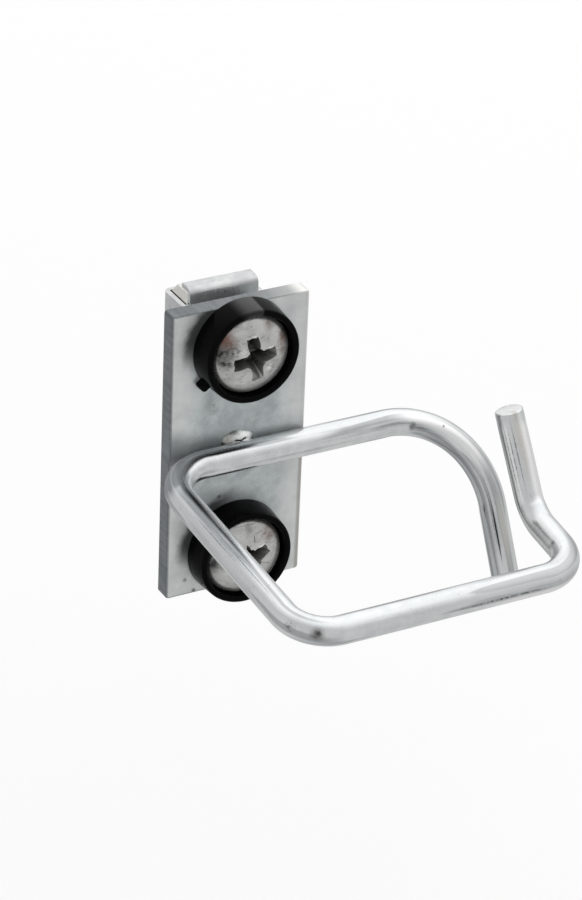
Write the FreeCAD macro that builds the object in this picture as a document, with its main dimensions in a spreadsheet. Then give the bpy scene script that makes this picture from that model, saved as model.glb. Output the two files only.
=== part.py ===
import FreeCAD, Part
import math
import os
import Sketcher
from FreeCAD import Placement, Rotation, Vector

# Rack D-ring cable hook, one rack unit high, with the two screws, cup washers and cage nuts
# that fasten it to a post. Millimetres and degrees. X runs across the post, Z is up, and the
# front faces -Y. The origin is on the back of the mounting plate, midway between the screws.

SIZES = [
    # mounting plate
    ("plate_width", 21.0),
    ("plate_height", 44.4),
    ("plate_thickness", 2.5),
    ("plate_corner_radius", 0.5),
    ("plate_edge_roll", 0.35),
    ("plate_hole_play", 0.6),
    ("screw_spacing", 31.75),
    # wire ring: bend radii are those of the wire's centre line
    ("wire_diameter", 4.0),
    ("wire_end_chamfer", 0.3),
    ("bar_below_middle", 0.4),
    ("leg_gap", 0.3),
    ("ring_depth", 38.5),
    ("ring_droop", 8.0),
    ("left_leg_lean", 3.2),
    ("left_corner_radius", 6.5),
    ("front_left_radius", 6.0),
    ("front_right_radius", 5.7),
    ("run_in_offset", 31.5),
    ("run_in_length", 12.7),
    ("rise_radius", 6.4),
    ("rise_angle", 57.0),
    ("upper_end_length", 14.9),
    ("big_bend_offset", 36.9),
    ("big_bend_radius", 15.0),
    ("lower_end_angle", 62.8),
    ("lower_end_length", 26.6),
    # weld beads above and below the back bar
    ("weld_offset", 0.3),
    ("weld_root", 0.6),
    ("weld_length", 3.8),
    ("weld_height", 2.4),
    ("weld_taper", 1.3),
    # cup washers
    ("cup_base_diameter", 14.6),
    ("cup_rim_diameter", 14.0),
    ("cup_height", 4.1),
    ("cup_floor", 0.8),
    ("cup_rim_chamfer", 0.3),
    ("cup_opening_play", 0.4),
    ("cup_bore_play", 0.5),
    ("gate_width", 1.6),
    ("gate_reach", 1.0),
    ("gate_height", 1.2),
    ("upper_gate_turn", 219.0),
    ("lower_gate_turn", 300.0),
    # screws
    ("thread_diameter", 6.0),
    ("screw_length", 16.0),
    ("screw_tip_chamfer", 0.8),
    ("head_diameter", 11.8),
    ("head_height", 3.9),
    ("head_side", 2.3),
    ("head_shoulder", 2.0),
    ("recess_span", 6.8),
    ("recess_slot", 1.9),
    ("recess_flare", 0.45),
    ("recess_depth", 3.2),
    ("recess_floor_span", 3.2),
    ("recess_floor_slot", 1.3),
    ("recess_floor_flare", 0.1),
    ("upper_screw_turn", 9.5),
    ("lower_screw_turn", 22.0),
    # the post's sheet and its square holes, which the cages snap into
    ("post_sheet", 2.0),
    ("square_hole", 9.5),
    # cages
    ("cage_sheet", 0.7),
    ("cage_bend", 0.3),
    ("cage_height", 14.0),
    ("cage_wall_width", 9.0),
    ("cage_rear_fold", 2.4),
    ("cage_end_fold", 1.8),
    ("ear_width", 7.0),
    ("ear_play", 0.1),
    ("ear_overhang", 1.0),
    # nuts
    ("nut_width", 10.5),
    ("nut_thickness", 4.6),
    ("nut_float", 0.3),
    ("nut_corner_cut", 0.8),
    ("nut_bore_chamfer", 0.5),
    ("thread_play", 0.1),
]

SIDES = {"upper": "sizes.screw_spacing / 2", "lower": "-sizes.screw_spacing / 2"}
TOWARDS_FRONT = Vector(0, -1, 0)
AXIS_X = Vector(1, 0, 0)
NEAR = 0.001

# places that several pieces share
WIRE_RADIUS = "sizes.wire_diameter / 2"
BAR_Y = "-(sizes.plate_thickness + sizes.wire_diameter / 2)"
BAR_Z = "-sizes.bar_below_middle"
DROOP = "sizes.ring_droop * 1 deg"
THREAD_RADIUS = "sizes.thread_diameter / 2"
HEAD_RADIUS = "(sizes.head_diameter / 2)"
PANEL_FRONT = "(sizes.cage_sheet + sizes.post_sheet)"
NUT_FRONT = "(sizes.cage_sheet * 2 + sizes.post_sheet + sizes.nut_float / 2)"
POCKET_DEPTH = "(sizes.nut_thickness + sizes.nut_float)"
CAGE_HALF = "(sizes.nut_width / 2 + sizes.nut_float + sizes.cage_sheet)"
EAR_OUTSIDE = "(sizes.square_hole / 2 - sizes.ear_play)"

doc = FreeCAD.newDocument("rack_d_ring_hook")
exported = []


# ---------------------------------------------------------------- helpers

def make_sizes():
    """The sheet of driving dimensions, one alias a row."""
    sheet = doc.addObject("Spreadsheet::Sheet", "sizes")
    for row, (alias, number) in enumerate(SIZES, start=1):
        sheet.set("A%d" % row, alias)
        sheet.set("B%d" % row, str(number))
        sheet.setAlias("B%d" % row, alias)
    doc.recompute()


def value(thing, expression):
    """The number that an expression gives now."""
    number = thing.evalExpression(expression)
    return float(getattr(number, "Value", number))


def bind(thing, **expressions):
    """Binds properties to expressions: a double underscore stands for the dot in a path."""
    for path, expression in expressions.items():
        thing.setExpression(path.replace("__", "."), expression)


def make_body(label, y="0", z="0"):
    """A body that becomes a sub-part of its own, with its local origin at the given place."""
    body = doc.addObject("PartDesign::Body", label)
    body.Label = label
    bind(body, Placement__Base__y=y, Placement__Base__z=z)
    exported.append(body)
    return body


def turn_body(body, angle):
    """Turns a body about its own axis, anticlockwise as seen from the front."""
    body.Placement = Placement(body.Placement.Base, Rotation(TOWARDS_FRONT, 1.0))
    bind(body, Placement__Rotation__Angle="%s * 1 deg" % angle)


def make_sketch(body, name, role, lift="0"):
    """A sketch on one of the body's own origin planes, lifted along that plane's normal."""
    sketch = body.newObject("Sketcher::SketchObject", name)
    plane = [entry for entry in body.Origin.OriginFeatures if entry.Role == role][0]
    sketch.AttachmentSupport = [(plane, "")]
    sketch.MapMode = "FlatFace"
    bind(sketch, AttachmentOffset__Base__z=lift)
    return sketch


def place(sketch, point):
    """A pair of expressions as a point of the sketch."""
    return Vector(value(sketch, point[0]), value(sketch, point[1]), 0)


def pin(sketch, geometry, end, point):
    """Holds one end of a sketch line, or a point, at a pair of expressions."""
    for kind, expression in zip(("DistanceX", "DistanceY"), point):
        number = value(sketch, expression)
        index = sketch.addConstraint(Sketcher.Constraint(kind, -1, 1, geometry, end, number))
        sketch.setExpression("Constraints[%d]" % index, expression)


def set_radius(sketch, arc, expression):
    number = value(sketch, expression)
    index = sketch.addConstraint(Sketcher.Constraint("Radius", arc, number))
    sketch.setExpression("Constraints[%d]" % index, expression)


def draw_circle(sketch, radius, centre=("0", "0")):
    circle = Part.Circle(place(sketch, centre), Vector(0, 0, 1), value(sketch, radius))
    index = sketch.addGeometry(circle)
    pin(sketch, index, 3, centre)
    set_radius(sketch, index, radius)


def outward_arc(start, end, radius):
    """An arc between two corners that swells to the right of the way from start to end."""
    chord = end - start
    inward = Vector(-chord.y, chord.x, 0).normalize()
    reach = math.sqrt(radius ** 2 - chord.Length ** 2 / 4)
    centre = (start + end) * 0.5 + inward * reach
    return Part.Arc(start, centre - inward * radius, end)


def draw_profile(sketch, corners, swelling=None):
    """A closed outline through anticlockwise corners; swelling gives some sides an arc's radius."""
    swelling = swelling or {}
    places = [place(sketch, corner) for corner in corners]
    sides = []
    for index, start in enumerate(places):
        end = places[(index + 1) % len(places)]
        if index in swelling:
            side = outward_arc(start, end, value(sketch, swelling[index]))
        else:
            side = Part.LineSegment(start, end)
        sides.append(sketch.addGeometry(side))
    for index, side in enumerate(sides):
        following = sides[(index + 1) % len(sides)]
        sketch.addConstraint(Sketcher.Constraint("Coincident", side, 2, following, 1))
        pin(sketch, side, 1, corners[index])
        if index in swelling:
            set_radius(sketch, side, swelling[index])


def draw_rectangle(sketch, left, right, low, high):
    draw_profile(sketch, [(left, low), (right, low), (right, high), (left, high)])


def draw_bent_line(sketch, corners, radii):
    """The centre line of a bent wire: straights through the corners, joined by tangent arcs."""
    places = [place(sketch, corner) for corner in corners]
    marks = [sketch.addGeometry(Part.Point(spot), True) for spot in places]
    for mark, corner in zip(marks, corners):
        pin(sketch, mark, 1, corner)
    starts = [places[0]]
    ends = []
    middles = []
    clockwise = []
    for before, corner, after, radius in zip(places, places[1:], places[2:], radii):
        back = (before - corner).normalize()
        onward = (after - corner).normalize()
        half_angle = back.getAngle(onward) / 2
        bend = value(sketch, radius)
        bisector = (back + onward).normalize()
        ends.append(corner + back * (bend / math.tan(half_angle)))
        starts.append(corner + onward * (bend / math.tan(half_angle)))
        middles.append(corner + bisector * (bend / math.sin(half_angle) - bend))
        clockwise.append(back.cross(onward).z > 0)
    ends.append(places[-1])
    straights = []
    arcs = []
    for index, (start, end) in enumerate(zip(starts, ends)):
        straights.append(sketch.addGeometry(Part.LineSegment(start, end)))
        if index < len(middles):
            first, second = (starts[index + 1], end) if clockwise[index] else (end, starts[index + 1])
            arcs.append(sketch.addGeometry(Part.Arc(first, middles[index], second)))
    last = len(straights) - 1
    for index, straight in enumerate(straights):
        for end, mark, at_tip in ((1, marks[index], index == 0), (2, marks[index + 1], index == last)):
            if at_tip:
                hold = Sketcher.Constraint("Coincident", straight, end, mark, 1)
            else:
                hold = Sketcher.Constraint("PointOnObject", mark, 1, straight)
            sketch.addConstraint(hold)
    for index, arc in enumerate(arcs):
        first, second = (2, 1) if clockwise[index] else (1, 2)
        sketch.addConstraint(Sketcher.Constraint("Tangent", straights[index], 2, arc, first))
        sketch.addConstraint(Sketcher.Constraint("Tangent", arc, second, straights[index + 1], 1))
        set_radius(sketch, arc, radii[index])


def add_pad(body, sketch, length, backwards=False, both_ways=False):
    pad = body.newObject("PartDesign::Pad", sketch.Name + "_pad")
    pad.Profile = sketch
    pad.Reversed = backwards
    pad.SideType = "Symmetric" if both_ways else "One side"
    bind(pad, Length=length)
    doc.recompute()
    return pad


def add_pocket(body, sketch):
    """Cuts a sketch right through the body, both ways from its plane."""
    pocket = body.newObject("PartDesign::Pocket", sketch.Name + "_cut")
    pocket.Profile = sketch
    pocket.Type = "ThroughAll"
    pocket.SideType = "Symmetric"
    doc.recompute()
    return pocket


def add_revolution(body, sketch, angle=360):
    """Turns a half section about the sketch's first axis, by half the angle each way."""
    revolution = body.newObject("PartDesign::Revolution", sketch.Name + "_turned")
    revolution.Profile = sketch
    revolution.ReferenceAxis = (sketch, ["H_Axis"])
    revolution.Angle = angle
    revolution.Midplane = True
    doc.recompute()
    return revolution


def add_dressing(body, kind, name, edges, size):
    """A fillet or chamfer of the body's tip on the edges that the test picks."""
    base = body.Tip
    picked = ["Edge%d" % number for number, edge in enumerate(base.Shape.Edges, 1) if edges(edge)]
    dressing = body.newObject("PartDesign::" + kind, name)
    dressing.Base = (base, picked)
    bind(dressing, **{"Radius" if kind == "Fillet" else "Size": size})
    doc.recompute()
    return dressing


def close(first, second):
    return abs(first - second) < NEAR


def is_circle(edge, y, radius):
    """True for a full circle about the Y axis at the given height and radius."""
    if edge.Degenerated or not isinstance(edge.Curve, Part.Circle):
        return False
    return close(edge.Curve.Center.y, y) and close(edge.Curve.Radius, radius)


def runs_along(edge, direction):
    return isinstance(edge.Curve, Part.Line) and abs(edge.Curve.Direction.dot(direction)) > 1 - NEAR


# ---------------------------------------------------------------- plate, ring and weld

def make_plate():
    """Punched blank with a rolled front edge and a clearance hole for each screw."""
    body = make_body("mounting_plate")
    outline = make_sketch(body, "plate_outline", "XZ_Plane")
    half_width = "sizes.plate_width / 2"
    half_height = "sizes.plate_height / 2"
    draw_rectangle(outline, "-" + half_width, half_width, "-" + half_height, half_height)
    add_pad(body, outline, "sizes.plate_thickness")
    holes = make_sketch(body, "plate_holes", "XZ_Plane")
    for level in SIDES.values():
        draw_circle(holes, "(sizes.thread_diameter + sizes.plate_hole_play) / 2", ("0", level))
    add_pocket(body, holes)

    def is_corner(edge):
        return runs_along(edge, TOWARDS_FRONT)

    def is_front_rim(edge):
        box = edge.BoundBox
        at_front = close(box.YMin, -value(body, "sizes.plate_thickness")) and close(box.YLength, 0)
        near_hole = isinstance(edge.Curve, Part.Circle) and edge.isClosed()
        return at_front and not near_hole

    add_dressing(body, "Fillet", "plate_corners", is_corner, "sizes.plate_corner_radius")
    add_dressing(body, "Fillet", "plate_front_roll", is_front_rim, "sizes.plate_edge_roll")


def sweep_wire(body, path):
    """Sweeps the wire's round section along one sketch."""
    section = body.newObject("Sketcher::SketchObject", path.Name + "_section")
    section.AttachmentSupport = [(path, "Edge1")]
    section.MapMode = "NormalToEdge"
    section.MapPathParameter = 0
    draw_circle(section, WIRE_RADIUS)
    doc.recompute()
    pipe = body.newObject("PartDesign::AdditivePipe", path.Name + "_wire")
    pipe.Profile = section
    pipe.Spine = (path, ["Edge%d" % number for number in range(1, len(path.Shape.Edges) + 1)])
    doc.recompute()


def tilt_about_bar(sketch, angle):
    """Tilts a sketch about the back bar's axis, so that its front edge hangs lower."""
    sketch.AttachmentOffset = Placement(Vector(), Rotation(AXIS_X, 1.0))
    bind(sketch, AttachmentOffset__Rotation__Angle=angle)
    bind(sketch, AttachmentOffset__Base__y=BAR_Y, AttachmentOffset__Base__z=BAR_Z)


def make_ring():
    """One bent wire in three planes, which share the back bar and the run inward."""
    body = make_body("wire_ring")

    lower_end = make_sketch(body, "lower_end_path", "XY_Plane")
    tilt_about_bar(lower_end, "sizes.lower_end_angle * 1 deg")
    lower_corners = [
        ("0", "0"),
        ("sizes.big_bend_offset", "0"),
        ("sizes.big_bend_offset", "-sizes.lower_end_length"),
    ]
    draw_bent_line(lower_end, lower_corners, ["sizes.big_bend_radius"])
    doc.recompute()
    sweep_wire(body, lower_end)

    left = "-(sizes.plate_width / 2 + sizes.leg_gap + sizes.wire_diameter / 2)"
    lean = "sizes.ring_depth * tan(sizes.left_leg_lean * 1 deg)"
    rise_bend = "(sizes.rise_angle - sizes.ring_droop) * 1 deg"
    rise_set_back = "sizes.rise_radius * tan(%s / 2)" % rise_bend
    join = "(sizes.front_right_radius + sizes.run_in_length - %s) / 2" % rise_set_back
    ring = make_sketch(body, "ring_path", "XY_Plane")
    tilt_about_bar(ring, DROOP)
    ring_corners = [
        ("0", "0"),
        (left, "0"),
        (left + " + " + lean, "-sizes.ring_depth"),
        ("sizes.run_in_offset", "-sizes.ring_depth"),
        ("sizes.run_in_offset", "-sizes.ring_depth + " + join),
    ]
    ring_radii = ["sizes.left_corner_radius", "sizes.front_left_radius", "sizes.front_right_radius"]
    draw_bent_line(ring, ring_corners, ring_radii)
    doc.recompute()
    sweep_wire(body, ring)

    upper_end = make_sketch(body, "upper_end_path", "YZ_Plane", lift="sizes.run_in_offset")

    def on_run_in(along):
        """A place on the run inward, measured from the front bar's axis."""
        reach = "(sizes.ring_depth - %s)" % along
        return ("%s - %s * cos(%s)" % (BAR_Y, reach, DROOP), "%s - %s * sin(%s)" % (BAR_Z, reach, DROOP))

    rise_y, rise_z = on_run_in("sizes.run_in_length")
    rise = "sizes.rise_angle * 1 deg"
    upper_corners = [
        on_run_in("(%s)" % join),
        (rise_y, rise_z),
        ("%s + sizes.upper_end_length * cos(%s)" % (rise_y, rise),
         "%s + sizes.upper_end_length * sin(%s)" % (rise_z, rise)),
    ]
    draw_bent_line(upper_end, upper_corners, ["sizes.rise_radius"])
    doc.recompute()
    sweep_wire(body, upper_end)

    tips = []
    for path, corners in ((lower_end, lower_corners), (upper_end, upper_corners)):
        tips.append(path.Placement.multVec(place(path, corners[-1])))

    def is_tip(edge):
        if not isinstance(edge.Curve, Part.Circle):
            return False
        return min(edge.Curve.Center.distanceToPoint(tip) for tip in tips) < NEAR

    add_dressing(body, "Chamfer", "wire_ends", is_tip, "sizes.wire_end_chamfer")


def make_weld(label, side):
    """One bead in the corner between the plate and the back bar: side is + above, - below."""
    to_middle = "(sizes.weld_root + sizes.weld_height / 2)"
    middle = "%s %s %s" % (BAR_Z, side, to_middle)
    body = make_body(label, y="-sizes.plate_thickness", z=middle)
    start = "(sizes.weld_offset - sizes.weld_length / 2)"
    end = "(sizes.weld_offset + sizes.weld_length / 2)"
    bead = make_sketch(body, label + "_section", "XY_Plane")
    draw_profile(bead, [
        (start, "0"),
        (start + " + sizes.weld_taper", "-sizes.weld_height / 2"),
        (end + " - sizes.weld_taper", "-sizes.weld_height / 2"),
        (end, "0"),
    ])
    add_revolution(body, bead, angle=180)
    bar = body.newObject("PartDesign::SubtractiveCylinder", label + "_bar")
    bar.Placement = Placement(Vector(), Rotation(Vector(0, 1, 0), 90))
    bind(bar, Radius=WIRE_RADIUS, Height="sizes.weld_length")
    bind(bar, Placement__Base__x=start, Placement__Base__y="-" + WIRE_RADIUS)
    bind(bar, Placement__Base__z="0 %s %s" % ("-" if side == "+" else "+", to_middle))
    doc.recompute()


# ---------------------------------------------------------------- washers and screws

def make_cup_washer(side, level):
    """Moulded cup that the screw's head sinks into, with the stub of its moulding gate."""
    body = make_body("cup_washer_" + side, y="-sizes.plate_thickness", z=level)
    turn_body(body, "sizes.%s_gate_turn" % side)
    bore = "(sizes.thread_diameter + sizes.cup_bore_play) / 2"
    opening = "(sizes.head_diameter + sizes.cup_opening_play) / 2"
    base = "sizes.cup_base_diameter / 2"
    rim = "sizes.cup_rim_diameter / 2"
    section = make_sketch(body, "cup_section_" + side, "YZ_Plane")
    draw_profile(section, [
        ("0", bore),
        ("0", base),
        ("-sizes.cup_height", rim),
        ("-sizes.cup_height", opening),
        ("-sizes.cup_floor", opening),
        ("-sizes.cup_floor", bore),
    ])
    add_revolution(body, section)
    gate = make_sketch(body, "gate_outline_" + side, "XZ_Plane")
    half_gate = "sizes.gate_width / 2"
    draw_rectangle(gate, opening, base + " + sizes.gate_reach", "-" + half_gate, half_gate)
    add_pad(body, gate, "sizes.gate_height")
    rim_radii = [value(body, rim), value(body, opening)]
    height = value(body, "sizes.cup_height")

    def is_rim(edge):
        return any(is_circle(edge, -height, radius) for radius in rim_radii)

    add_dressing(body, "Chamfer", "cup_rim_" + side, is_rim, "sizes.cup_rim_chamfer")


def cut_recess_wedge(body, name, mouth, floor, turn=0):
    """Cuts a wedge into the head: mouth and floor are its half widths across X and across Z."""
    wedge = body.newObject("PartDesign::SubtractiveWedge", name)
    wedge.Placement = Placement(Vector(), Rotation(TOWARDS_FRONT, turn))
    bind(wedge, Ymin="-sizes.head_height", Ymax="sizes.recess_depth - sizes.head_height")
    bind(wedge, Xmin="-" + mouth[0], Xmax=mouth[0], Zmin="-" + mouth[1], Zmax=mouth[1])
    bind(wedge, X2min="-" + floor[0], X2max=floor[0], Z2min="-" + floor[1], Z2max=floor[1])
    doc.recompute()


def make_screw(side, level):
    """Pan-head machine screw with a cross recess, from the crown to the chamfered end."""
    body = make_body("screw_" + side, y="-(sizes.plate_thickness + sizes.cup_floor)", z=level)
    turn_body(body, "sizes.%s_screw_turn" % side)
    crown_rise = "(sizes.head_height - sizes.head_side)"
    crown_radius = "((%s ^ 2 + %s ^ 2) / (2 * %s))" % (HEAD_RADIUS, crown_rise, crown_rise)
    crown_centre = "(sizes.head_height - %s)" % crown_radius
    shoulder_from_axis = "(%s - sizes.head_shoulder)" % HEAD_RADIUS
    between_centres = "(%s - sizes.head_shoulder)" % crown_radius
    shoulder_above = "sqrt(%s ^ 2 - %s ^ 2)" % (between_centres, shoulder_from_axis)
    reach = "%s / %s" % (crown_radius, between_centres)
    shoulder_start = ("-(%s + %s)" % (crown_centre, shoulder_above), HEAD_RADIUS)
    shoulder_end = ("-(%s + %s * %s)" % (crown_centre, shoulder_above, reach),
                    "%s * %s" % (shoulder_from_axis, reach))
    section = make_sketch(body, "screw_section_" + side, "YZ_Plane")
    corners = [
        shoulder_start,
        shoulder_end,
        ("-sizes.head_height", "0"),
        ("sizes.screw_length", "0"),
        ("sizes.screw_length", THREAD_RADIUS + " - sizes.screw_tip_chamfer"),
        ("sizes.screw_length - sizes.screw_tip_chamfer", THREAD_RADIUS),
        ("0", THREAD_RADIUS),
        ("0", HEAD_RADIUS),
    ]
    shoulder_side, crown_side = 0, 1
    draw_profile(section, corners, {shoulder_side: "sizes.head_shoulder", crown_side: crown_radius})
    add_revolution(body, section)

    arm = ("(sizes.recess_span / 2)", "(sizes.recess_slot / 2)")
    arm_floor = ("(sizes.recess_floor_span / 2)", "(sizes.recess_floor_slot / 2)")
    flare = "((sizes.recess_slot + sizes.recess_flare) / sqrt(2))"
    flare_floor = "((sizes.recess_floor_slot + sizes.recess_floor_flare) / sqrt(2))"
    cut_recess_wedge(body, "recess_across_" + side, arm, arm_floor)
    cut_recess_wedge(body, "recess_upright_" + side, arm[::-1], arm_floor[::-1])
    cut_recess_wedge(body, "recess_middle_" + side, (flare, flare), (flare_floor, flare_floor), turn=45)


# ---------------------------------------------------------------- cage nuts

def make_cage(side, level):
    """Folded spring-steel cage: front panel, side walls with rear folds, end folds and two ears."""
    body = make_body("cage_" + side, z=level)
    back = "%s + sizes.cage_sheet * 2 + %s" % (PANEL_FRONT, POCKET_DEPTH)
    inner_half = "(%s - sizes.cage_sheet)" % CAGE_HALF
    panel_back = "%s + sizes.cage_sheet" % PANEL_FRONT

    channel = make_sketch(body, "channel_" + side, "XY_Plane")
    fold_end = "(%s - sizes.cage_rear_fold)" % CAGE_HALF
    draw_profile(channel, [
        ("-" + CAGE_HALF, PANEL_FRONT),
        (CAGE_HALF, PANEL_FRONT),
        (CAGE_HALF, back),
        (fold_end, back),
        (fold_end, "%s - sizes.cage_sheet" % back),
        (inner_half, "%s - sizes.cage_sheet" % back),
        (inner_half, panel_back),
        ("-" + inner_half, panel_back),
        ("-" + inner_half, "%s - sizes.cage_sheet" % back),
        ("-" + fold_end, "%s - sizes.cage_sheet" % back),
        ("-" + fold_end, back),
        ("-" + CAGE_HALF, back),
    ])
    add_pad(body, channel, "sizes.cage_wall_width", both_ways=True)

    ends = make_sketch(body, "end_folds_" + side, "YZ_Plane")
    top = "(sizes.cage_height / 2)"
    draw_profile(ends, [
        (PANEL_FRONT, "-" + top),
        ("%s + sizes.cage_end_fold" % panel_back, "-" + top),
        ("%s + sizes.cage_end_fold" % panel_back, "-%s + sizes.cage_sheet" % top),
        (panel_back, "-%s + sizes.cage_sheet" % top),
        (panel_back, "%s - sizes.cage_sheet" % top),
        ("%s + sizes.cage_end_fold" % panel_back, "%s - sizes.cage_sheet" % top),
        ("%s + sizes.cage_end_fold" % panel_back, top),
        (PANEL_FRONT, top),
    ])
    end_width = "2 * (%s - sizes.cage_sheet - sizes.cage_bend)" % CAGE_HALF
    add_pad(body, ends, end_width, both_ways=True)

    window = make_sketch(body, "window_" + side, "XZ_Plane")
    ear_half = "sizes.ear_width / 2"
    draw_rectangle(window, "-" + EAR_OUTSIDE, EAR_OUTSIDE, "-" + ear_half, ear_half)
    add_pocket(body, window)

    ears = make_sketch(body, "ears_" + side, "XY_Plane")
    ear_inside = "(%s - sizes.cage_sheet)" % EAR_OUTSIDE
    hook_end = "(sizes.square_hole / 2 + sizes.ear_overhang)"
    for mirror in ("", "-"):
        outline = [
            (mirror + ear_inside, "0"),
            (mirror + hook_end, "0"),
            (mirror + hook_end, "sizes.cage_sheet"),
            (mirror + EAR_OUTSIDE, "sizes.cage_sheet"),
            (mirror + EAR_OUTSIDE, panel_back),
            (mirror + ear_inside, panel_back),
        ]
        draw_profile(ears, outline if mirror == "" else outline[::-1])
    add_pad(body, ears, "sizes.ear_width", both_ways=True)

    half = value(body, CAGE_HALF)
    front = value(body, PANEL_FRONT)
    rear = value(body, back)
    ear_x = value(body, ear_inside)
    end_z = value(body, top)

    def is_wall_bend(edge):
        if not runs_along(edge, Vector(0, 0, 1)):
            return False
        spot = edge.CenterOfMass
        at_wall = close(abs(spot.x), half) and (close(spot.y, front) or close(spot.y, rear))
        at_ear = close(abs(spot.x), ear_x) and close(spot.y, 0)
        return at_wall or at_ear

    def is_end_bend(edge):
        spot = edge.CenterOfMass
        return runs_along(edge, AXIS_X) and close(abs(spot.z), end_z) and close(spot.y, front)

    outer_bend = "sizes.cage_bend + sizes.cage_sheet"
    add_dressing(body, "Fillet", "wall_bends_" + side, is_wall_bend, outer_bend)
    add_dressing(body, "Fillet", "end_bends_" + side, is_end_bend, outer_bend)


def make_nut(side, level):
    """Square nut, loose in its cage."""
    body = make_body("nut_" + side, y=NUT_FRONT, z=level)
    outline = make_sketch(body, "nut_outline_" + side, "XZ_Plane")
    half = "sizes.nut_width / 2"
    draw_rectangle(outline, "-" + half, half, "-" + half, half)
    add_pad(body, outline, "sizes.nut_thickness", backwards=True)
    bore = make_sketch(body, "nut_bore_" + side, "XZ_Plane")
    bore_radius = "(sizes.thread_diameter + sizes.thread_play) / 2"
    draw_circle(bore, bore_radius)
    add_pocket(body, bore)

    def is_corner(edge):
        return runs_along(edge, TOWARDS_FRONT) and edge.CenterOfMass.Length > value(body, half)

    def is_mouth(edge):
        return isinstance(edge.Curve, Part.Circle)

    add_dressing(body, "Chamfer", "nut_corners_" + side, is_corner, "sizes.nut_corner_cut")
    add_dressing(body, "Chamfer", "nut_mouths_" + side, is_mouth, "sizes.nut_bore_chamfer")


def export_parts():
    """Checks every object, then writes each sub-part to a file named after its label."""
    doc.recompute()
    for thing in doc.Objects:
        if "Invalid" in thing.State or "Error" in thing.State:
            raise RuntimeError("%s: %s" % (thing.Label, thing.State))
    os.makedirs("parts", exist_ok=True)
    for thing in exported:
        if thing.Shape.isNull() or not thing.Shape.isValid():
            raise RuntimeError("%s has no sound shape" % thing.Label)
        thing.Shape.exportStep("parts/%s.step" % thing.Label)
        print(thing.Label, round(thing.Shape.Volume, 1), "mm3,", len(thing.Shape.Solids), "solid")


make_sizes()
make_plate()
make_ring()
make_weld("weld_above", "+")
make_weld("weld_below", "-")
for side, level in SIDES.items():
    make_cup_washer(side, level)
    make_screw(side, level)
    make_cage(side, level)
    make_nut(side, level)
export_parts()
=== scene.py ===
"""Dresses the rack D-ring cable hook: wire, screws, cup washers, weld, finishes, light and camera.

X runs across the post, Z is up and the front faces -Y. The origin is on the back of the mounting
plate, midway between the two screws. Lengths are in metres. Sizes written in millimetres are
multiplied by MM, and the shapes of screws, cup washers and weld are worked out in millimetres
until they are set in place.
"""
import math
from functools import partial

import bpy
import numpy as np
from mathutils import Matrix, Vector


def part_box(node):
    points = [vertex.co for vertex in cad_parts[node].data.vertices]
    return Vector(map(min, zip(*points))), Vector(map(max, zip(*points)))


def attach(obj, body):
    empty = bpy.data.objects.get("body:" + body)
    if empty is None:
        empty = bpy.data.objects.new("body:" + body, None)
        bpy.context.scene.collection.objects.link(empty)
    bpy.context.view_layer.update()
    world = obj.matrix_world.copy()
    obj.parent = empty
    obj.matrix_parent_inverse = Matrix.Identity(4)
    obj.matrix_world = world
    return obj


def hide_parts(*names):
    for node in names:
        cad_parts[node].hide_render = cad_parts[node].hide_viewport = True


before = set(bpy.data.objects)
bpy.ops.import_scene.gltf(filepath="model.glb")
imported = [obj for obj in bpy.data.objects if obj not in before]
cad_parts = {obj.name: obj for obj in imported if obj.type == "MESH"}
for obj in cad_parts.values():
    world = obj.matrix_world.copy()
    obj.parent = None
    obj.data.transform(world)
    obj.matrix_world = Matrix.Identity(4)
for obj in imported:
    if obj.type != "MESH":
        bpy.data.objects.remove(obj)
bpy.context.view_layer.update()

MM = 0.001
TAU = 2 * math.pi
PLATE_LOW, PLATE_HIGH = (np.array(corner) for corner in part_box("mounting_plate"))
PLATE_FRONT = PLATE_LOW[1]
WIRE_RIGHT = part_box("wire_ring")[1][0]
BAR_LEVEL = -0.4 * MM
SCREW_HALF_SPACING = 15.875 * MM
SIDES = {"upper": SCREW_HALF_SPACING, "lower": -SCREW_HALF_SPACING}


# ---- surfaces

def unit(vector):
    return vector / np.linalg.norm(vector, axis=-1, keepdims=True)


def ramp(low, high, values):
    """0 below low, 1 above high, and 3t^2 - 2t^3 between them."""
    t = np.clip((values - low) / (high - low), 0, 1)
    return t * t * (3 - 2 * t)


def ring_quads(rows, columns, loop=False):
    """Four-sided faces between neighbouring rings of points; loop joins the last to the first."""
    row, column = np.meshgrid(np.arange(rows if loop else rows - 1), np.arange(columns),
                              indexing="ij")
    following = (row + 1) % rows
    beside = (column + 1) % columns
    corners = [row * columns + column, row * columns + beside,
               following * columns + beside, following * columns + column]
    return np.stack(corners, -1).reshape(-1, 4)


def end_fan(first, columns, pole, last):
    """Three-sided faces from one ring to a pole; last says that the ring is the far end's."""
    here = first + np.arange(columns)
    beside = first + (np.arange(columns) + 1) % columns
    pair = (here, beside) if last else (beside, here)
    return np.stack([*pair, np.full(columns, pole)], -1)


def encloses(points, triangles):
    """Volume inside a closed mesh: the sum of a . (b x c) / 6, negative if it is inside out."""
    a, b, c = (points[triangles[:, corner]] for corner in range(3))
    return np.einsum("ij,ij->i", a, np.cross(b, c)).sum() / 6


def skin(rings, loop=False):
    """A closed surface through rings of points: a tube with a pole at each end, or a loop."""
    rows, columns = rings.shape[:2]
    points = rings.reshape(-1, 3)
    quads = ring_quads(rows, columns, loop)
    fans = np.empty((0, 3), int)
    if not loop:
        points = np.vstack([points, rings[0].mean(0), rings[-1].mean(0)])
        count = rows * columns
        fans = np.vstack([end_fan(0, columns, count, False),
                          end_fan(count - columns, columns, count + 1, True)])
    triangles = np.vstack([quads[:, :3], quads[:, [0, 2, 3]], fans])
    if encloses(points, triangles) < 0:
        quads, fans = quads[:, ::-1], fans[:, ::-1]
    return points, [*quads.tolist(), *fans.tolist()]


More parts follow.
